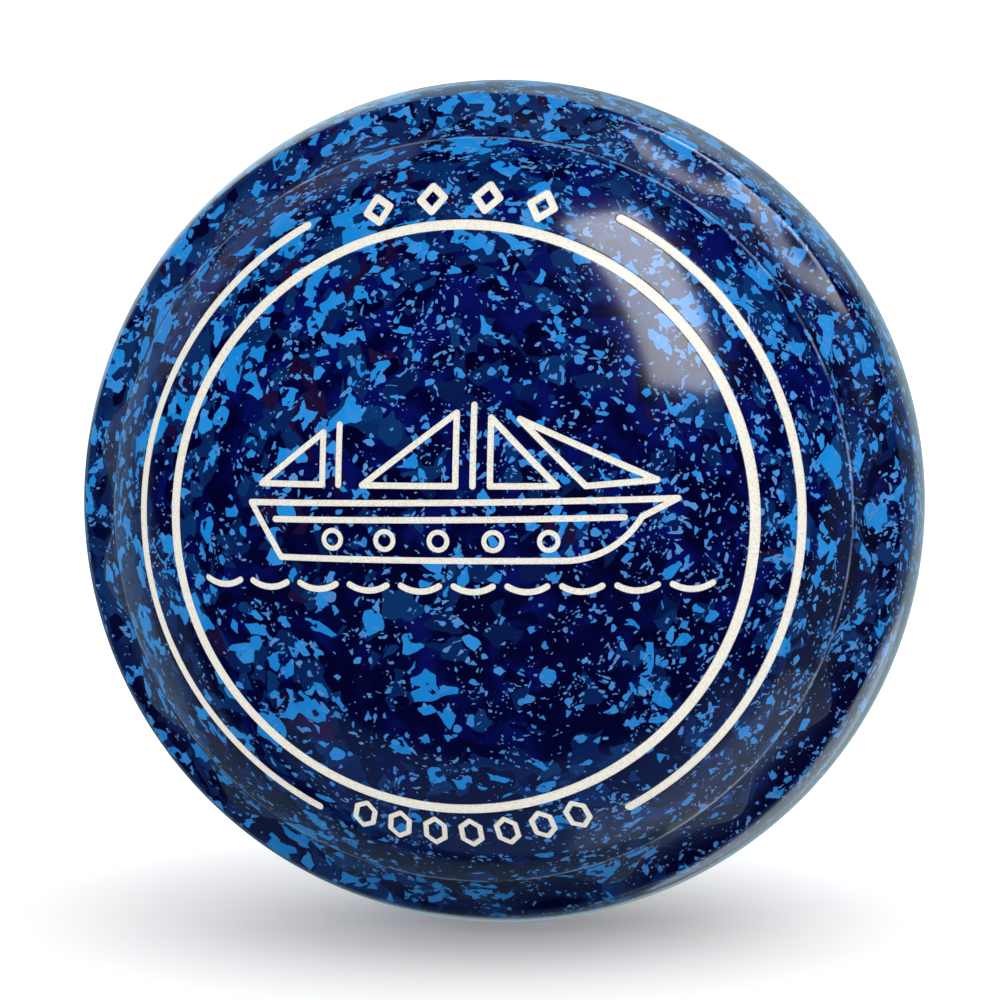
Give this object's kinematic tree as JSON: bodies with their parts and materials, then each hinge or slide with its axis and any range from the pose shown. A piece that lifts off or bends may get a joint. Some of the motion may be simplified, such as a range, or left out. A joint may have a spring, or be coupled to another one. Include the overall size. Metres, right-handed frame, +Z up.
{
  "type": "lawn bowl",
  "caption": "Glossy speckled blue lawn bowl with flattened domed sides, a scooped finger grip band on each side, and paint-filled engraved ring lines, arc lines and a line-drawn boat emblem.",
  "frame": {"origin": "centre of the bowl, half way between the two side poles on the turning axis", "axes": "+Y along the turning axis towards the small ring side, so the large ring side faces -Y; +Z up when the large ring side's emblem stands upright; +X to the right of that emblem"},
  "size_m": [0.1222, 0.1148, 0.1222],
  "materials": {
    "speckled_shell": "highly polished navy, ultramarine and aubergine resin with sky blue flakes",
    "line_paint": "cream white enamel with a slight grain",
    "core_resin": "dark moulded resin"
  },
  "bodies": {
    "root": {"core": "core_resin", "large_ring_side_shell": "speckled_shell", "small_ring_side_shell": "speckled_shell", "large_ring_line": "line_paint", "large_left_arc_line": "line_paint", "large_right_arc_line": "line_paint", "large_top_mark_1": "line_paint", "large_top_mark_2": "line_paint", "large_top_mark_3": "line_paint", "large_top_mark_4": "line_paint", "large_bottom_mark_1": "line_paint", "large_bottom_mark_2": "line_paint", "large_bottom_mark_3": "line_paint", "large_bottom_mark_4": "line_paint", "large_bottom_mark_5": "line_paint", "large_bottom_mark_6": "line_paint", "large_bottom_mark_7": "line_paint", "large_hull_line": "line_paint", "large_deck_line": "line_paint", "large_ports": "line_paint", "large_main_mast": "line_paint", "large_mizzen_mast": "line_paint", "large_mainsail": "line_paint", "large_mizzen_sail": "line_paint", "large_inner_jib": "line_paint", "large_outer_jib": "line_paint", "large_waves": "line_paint", "small_ring_line": "line_paint", "small_left_arc_line": "line_paint", "small_right_arc_line": "line_paint", "small_top_mark_1": "line_paint", "small_top_mark_2": "line_paint", "small_top_mark_3": "line_paint", "small_top_mark_4": "line_paint", "small_bottom_mark_1": "line_paint", "small_bottom_mark_2": "line_paint", "small_bottom_mark_3": "line_paint", "small_bottom_mark_4": "line_paint", "small_bottom_mark_5": "line_paint", "small_bottom_mark_6": "line_paint", "small_bottom_mark_7": "line_paint", "small_hull_line": "line_paint", "small_deck_line": "line_paint", "small_ports": "line_paint", "small_main_mast": "line_paint", "small_mizzen_mast": "line_paint", "small_mainsail": "line_paint", "small_mizzen_sail": "line_paint", "small_inner_jib": "line_paint", "small_outer_jib": "line_paint", "small_waves": "line_paint"}
  },
  "joints": []
}
